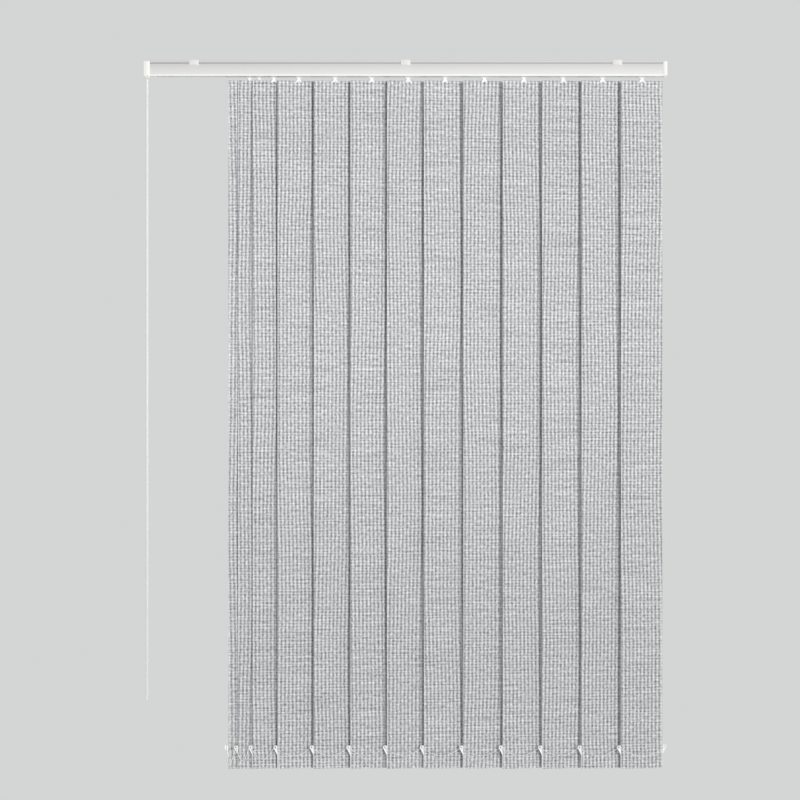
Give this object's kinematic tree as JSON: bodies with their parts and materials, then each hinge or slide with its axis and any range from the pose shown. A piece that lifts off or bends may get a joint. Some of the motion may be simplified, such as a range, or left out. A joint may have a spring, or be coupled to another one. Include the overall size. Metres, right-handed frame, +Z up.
{
  "type": "vertical blind",
  "caption": "Vertical window blind: fabric slats hang from gliders in a white headrail, turn together on a tilt rod, draw to one side and are linked by a bottom chain.",
  "frame": {"origin": "ceiling plane over the middle bracket, at the centre of the row of screw holes", "axes": "+X to the right along the headrail, +Y away from the room towards the window, +Z up"},
  "size_m": [1.0712, 0.0446, 1.4509],
  "materials": {
    "rail_white": "white powder coat, satin",
    "moulded_white": "smooth moulded",
    "bracket_white": "white paint on spring steel",
    "rod_metal": "drawn aluminium",
    "carrier_white": "smooth moulded",
    "cord_white": "smooth braided cord",
    "chain_white": "white beads",
    "slat_fabric": "coarse grey weave with upright ribs"
  },
  "bodies": {
    "headrail_body": {"headrail": "rail_white", "control_end": "moulded_white", "far_end_cap": "moulded_white", "brackets": "bracket_white", "control_cord": "cord_white", "carrier_13": "carrier_white"},
    "tilt_drive": {"tilt_rod": "rod_metal", "cord_wheel": "moulded_white"},
    "glider_01": {"carrier_01": "carrier_white"},
    "glider_02": {"carrier_02": "carrier_white"},
    "glider_03": {"carrier_03": "carrier_white"},
    "glider_04": {"carrier_04": "carrier_white"},
    "glider_05": {"carrier_05": "carrier_white"},
    "glider_06": {"carrier_06": "carrier_white"},
    "glider_07": {"carrier_07": "carrier_white"},
    "glider_08": {"carrier_08": "carrier_white"},
    "glider_09": {"carrier_09": "carrier_white"},
    "glider_10": {"carrier_10": "carrier_white"},
    "glider_11": {"carrier_11": "carrier_white"},
    "glider_12": {"carrier_12": "carrier_white"},
    "blade_01": {"slat_01": "slat_fabric", "fittings_01": "moulded_white"},
    "blade_02": {"slat_02": "slat_fabric", "fittings_02": "moulded_white"},
    "blade_03": {"slat_03": "slat_fabric", "fittings_03": "moulded_white"},
    "blade_04": {"slat_04": "slat_fabric", "fittings_04": "moulded_white"},
    "blade_05": {"slat_05": "slat_fabric", "fittings_05": "moulded_white"},
    "blade_06": {"slat_06": "slat_fabric", "fittings_06": "moulded_white"},
    "blade_07": {"slat_07": "slat_fabric", "fittings_07": "moulded_white"},
    "blade_08": {"slat_08": "slat_fabric", "fittings_08": "moulded_white"},
    "blade_09": {"slat_09": "slat_fabric", "fittings_09": "moulded_white"},
    "blade_10": {"slat_10": "slat_fabric", "fittings_10": "moulded_white"},
    "blade_11": {"slat_11": "slat_fabric", "fittings_11": "moulded_white"},
    "blade_12": {"slat_12": "slat_fabric", "fittings_12": "moulded_white"},
    "blade_13": {"slat_13": "slat_fabric", "fittings_13": "moulded_white", "chain_run_13": "chain_white"},
    "run_01": {"chain_run_01": "chain_white"},
    "run_02": {"chain_run_02": "chain_white"},
    "run_03": {"chain_run_03": "chain_white"},
    "run_04": {"chain_run_04": "chain_white"},
    "run_05": {"chain_run_05": "chain_white"},
    "run_06": {"chain_run_06": "chain_white"},
    "run_07": {"chain_run_07": "chain_white"},
    "run_08": {"chain_run_08": "chain_white"},
    "run_09": {"chain_run_09": "chain_white"},
    "run_10": {"chain_run_10": "chain_white"},
    "run_11": {"chain_run_11": "chain_white"},
    "run_12": {"chain_run_12": "chain_white"}
  },
  "joints": [
    {"name": "traverse_12", "type": "slide", "parent": "headrail_body", "child": "glider_12", "axis": [1, 0, 0], "range_m": [0, 0.0627], "deforming": ["chain_run_12"]},
    {"name": "traverse_11", "type": "slide", "parent": "glider_12", "child": "glider_11", "axis": [1, 0, 0], "range_m": [0, 0.0627], "deforming": ["chain_run_11"]},
    {"name": "traverse_10", "type": "slide", "parent": "glider_11", "child": "glider_10", "axis": [1, 0, 0], "range_m": [0, 0.0627], "deforming": ["chain_run_10"]},
    {"name": "traverse_09", "type": "slide", "parent": "glider_10", "child": "glider_09", "axis": [1, 0, 0], "range_m": [0, 0.0627], "deforming": ["chain_run_09"]},
    {"name": "traverse_08", "type": "slide", "parent": "glider_09", "child": "glider_08", "axis": [1, 0, 0], "range_m": [0, 0.0627], "deforming": ["chain_run_08"]},
    {"name": "traverse_07", "type": "slide", "parent": "glider_08", "child": "glider_07", "axis": [1, 0, 0], "range_m": [-0.00517, 0.05754], "deforming": ["chain_run_07"]},
    {"name": "traverse_06", "type": "slide", "parent": "glider_07", "child": "glider_06", "axis": [1, 0, 0], "range_m": [-0.00597, 0.05673], "deforming": ["chain_run_06"]},
    {"name": "traverse_05", "type": "slide", "parent": "glider_06", "child": "glider_05", "axis": [1, 0, 0], "range_m": [-0.00557, 0.05713], "deforming": ["chain_run_05"]},
    {"name": "traverse_04", "type": "slide", "parent": "glider_05", "child": "glider_04", "axis": [1, 0, 0], "range_m": [-0.00637, 0.05633], "deforming": ["chain_run_04"]},
    {"name": "traverse_03", "type": "slide", "parent": "glider_04", "child": "glider_03", "axis": [1, 0, 0], "range_m": [-0.02954, 0.03316], "deforming": ["chain_run_03"]},
    {"name": "traverse_02", "type": "slide", "parent": "glider_03", "child": "glider_02", "axis": [1, 0, 0], "range_m": [-0.051, 0.0117], "deforming": ["chain_run_02"]},
    {"name": "traverse_01", "type": "slide", "parent": "glider_02", "child": "glider_01", "axis": [1, 0, 0], "range_m": [-0.06101, 0.00169], "deforming": ["chain_run_01"]},
    {"name": "tilt_13", "type": "hinge", "parent": "headrail_body", "child": "blade_13", "pos_m": [0.4842, 0, 0], "axis": [0, 0, 1], "range_deg": [0, 150]},
    {"name": "tilt_12", "type": "hinge", "parent": "glider_12", "child": "blade_12", "pos_m": [0.4035, 0, 0], "axis": [0, 0, 1], "range_deg": [0, 150]},
    {"name": "tilt_11", "type": "hinge", "parent": "glider_11", "child": "blade_11", "pos_m": [0.3228, 0, 0], "axis": [0, 0, 1], "range_deg": [0, 150]},
    {"name": "tilt_10", "type": "hinge", "parent": "glider_10", "child": "blade_10", "pos_m": [0.2421, 0, 0], "axis": [0, 0, 1], "range_deg": [0, 150]},
    {"name": "tilt_09", "type": "hinge", "parent": "glider_09", "child": "blade_09", "pos_m": [0.1614, 0, 0], "axis": [0, 0, 1], "range_deg": [0, 150]},
    {"name": "tilt_08", "type": "hinge", "parent": "glider_08", "child": "blade_08", "pos_m": [0.0807, 0, 0], "axis": [0, 0, 1], "range_deg": [0, 150]},
    {"name": "tilt_07", "type": "hinge", "parent": "glider_07", "child": "blade_07", "pos_m": [0.00517, 0, 0], "axis": [0, 0, 1], "range_deg": [0, 150]},
    {"name": "tilt_06", "type": "hinge", "parent": "glider_06", "child": "blade_06", "pos_m": [-0.06956, 0, 0], "axis": [0, 0, 1], "range_deg": [0, 150]},
    {"name": "tilt_05", "type": "hinge", "parent": "glider_05", "child": "blade_05", "pos_m": [-0.14469, 0, 0], "axis": [0, 0, 1], "range_deg": [0, 150]},
    {"name": "tilt_04", "type": "hinge", "parent": "glider_04", "child": "blade_04", "pos_m": [-0.21902, 0, 0], "axis": [0, 0, 1], "range_deg": [0, 150]},
    {"name": "tilt_03", "type": "hinge", "parent": "glider_03", "child": "blade_03", "pos_m": [-0.27018, 0, 0], "axis": [0, 0, 1], "range_deg": [0, 150]},
    {"name": "tilt_02", "type": "hinge", "parent": "glider_02", "child": "blade_02", "pos_m": [-0.29988, 0, 0], "axis": [0, 0, 1], "range_deg": [0, 150]},
    {"name": "tilt_01", "type": "hinge", "parent": "glider_01", "child": "blade_01", "pos_m": [-0.31957, 0, 0], "axis": [0, 0, 1], "range_deg": [0, 150]},
    {"name": "rod_turn", "type": "hinge", "parent": "headrail_body", "child": "tilt_drive", "pos_m": [0, 0, -0.0177], "axis": [1, 0, 0], "range_deg": [0, 900]},
    {"name": "run_swivel_12", "type": "hinge", "parent": "blade_12", "child": "run_12", "pos_m": [0.35569, -0.01281, -1.4069], "axis": [0, 0, 1], "range_deg": [-150, 0]},
    {"name": "run_swivel_11", "type": "hinge", "parent": "blade_11", "child": "run_11", "pos_m": [0.27499, -0.01281, -1.4069], "axis": [0, 0, 1], "range_deg": [-150, 0]},
    {"name": "run_swivel_10", "type": "hinge", "parent": "blade_10", "child": "run_10", "pos_m": [0.19429, -0.01281, -1.4069], "axis": [0, 0, 1], "range_deg": [-150, 0]},
    {"name": "run_swivel_09", "type": "hinge", "parent": "blade_09", "child": "run_09", "pos_m": [0.11359, -0.01281, -1.4069], "axis": [0, 0, 1], "range_deg": [-150, 0]},
    {"name": "run_swivel_08", "type": "hinge", "parent": "blade_08", "child": "run_08", "pos_m": [0.03289, -0.01281, -1.4069], "axis": [0, 0, 1], "range_deg": [-150, 0]},
    {"name": "run_swivel_07", "type": "hinge", "parent": "blade_07", "child": "run_07", "pos_m": [-0.04265, -0.01281, -1.4069], "axis": [0, 0, 1], "range_deg": [-150, 0]},
    {"name": "run_swivel_06", "type": "hinge", "parent": "blade_06", "child": "run_06", "pos_m": [-0.11738, -0.01281, -1.4069], "axis": [0, 0, 1], "range_deg": [-150, 0]},
    {"name": "run_swivel_05", "type": "hinge", "parent": "blade_05", "child": "run_05", "pos_m": [-0.19251, -0.01281, -1.4069], "axis": [0, 0, 1], "range_deg": [-150, 0]},
    {"name": "run_swivel_04", "type": "hinge", "parent": "blade_04", "child": "run_04", "pos_m": [-0.26683, -0.01281, -1.4069], "axis": [0, 0, 1], "range_deg": [-150, 0]},
    {"name": "run_slide_03", "type": "slide", "parent": "run_04", "child": "run_03", "axis": [1, 0, 0], "range_m": [-0.02954, 0.03316]},
    {"name": "run_slide_02", "type": "slide", "parent": "run_03", "child": "run_02", "axis": [1, 0, 0], "range_m": [-0.051, 0.0117]},
    {"name": "run_slide_01", "type": "slide", "parent": "run_02", "child": "run_01", "axis": [1, 0, 0], "range_m": [-0.06101, 0.00169]}
  ],
  "couplings": [
    {"joint": "tilt_12", "follows": "tilt_13", "ratio": 1},
    {"joint": "tilt_11", "follows": "tilt_13", "ratio": 1},
    {"joint": "tilt_10", "follows": "tilt_13", "ratio": 1},
    {"joint": "tilt_09", "follows": "tilt_13", "ratio": 1},
    {"joint": "tilt_08", "follows": "tilt_13", "ratio": 1},
    {"joint": "tilt_07", "follows": "tilt_13", "ratio": 1},
    {"joint": "tilt_06", "follows": "tilt_13", "ratio": 1},
    {"joint": "tilt_05", "follows": "tilt_13", "ratio": 1},
    {"joint": "tilt_04", "follows": "tilt_13", "ratio": 1},
    {"joint": "tilt_03", "follows": "tilt_13", "ratio": 1},
    {"joint": "tilt_02", "follows": "tilt_13", "ratio": 1},
    {"joint": "tilt_01", "follows": "tilt_13", "ratio": 1},
    {"joint": "rod_turn", "follows": "tilt_13", "ratio": 6},
    {"joint": "run_swivel_12", "follows": "tilt_13", "ratio": -1},
    {"joint": "run_swivel_11", "follows": "tilt_13", "ratio": -1},
    {"joint": "run_swivel_10", "follows": "tilt_13", "ratio": -1},
    {"joint": "run_swivel_09", "follows": "tilt_13", "ratio": -1},
    {"joint": "run_swivel_08", "follows": "tilt_13", "ratio": -1},
    {"joint": "run_swivel_07", "follows": "tilt_13", "ratio": -1},
    {"joint": "run_swivel_06", "follows": "tilt_13", "ratio": -1},
    {"joint": "run_swivel_05", "follows": "tilt_13", "ratio": -1},
    {"joint": "run_swivel_04", "follows": "tilt_13", "ratio": -1},
    {"joint": "run_slide_03", "follows": "traverse_03", "ratio": 1},
    {"joint": "run_slide_02", "follows": "traverse_02", "ratio": 1},
    {"joint": "run_slide_01", "follows": "traverse_01", "ratio": 1}
  ]
}
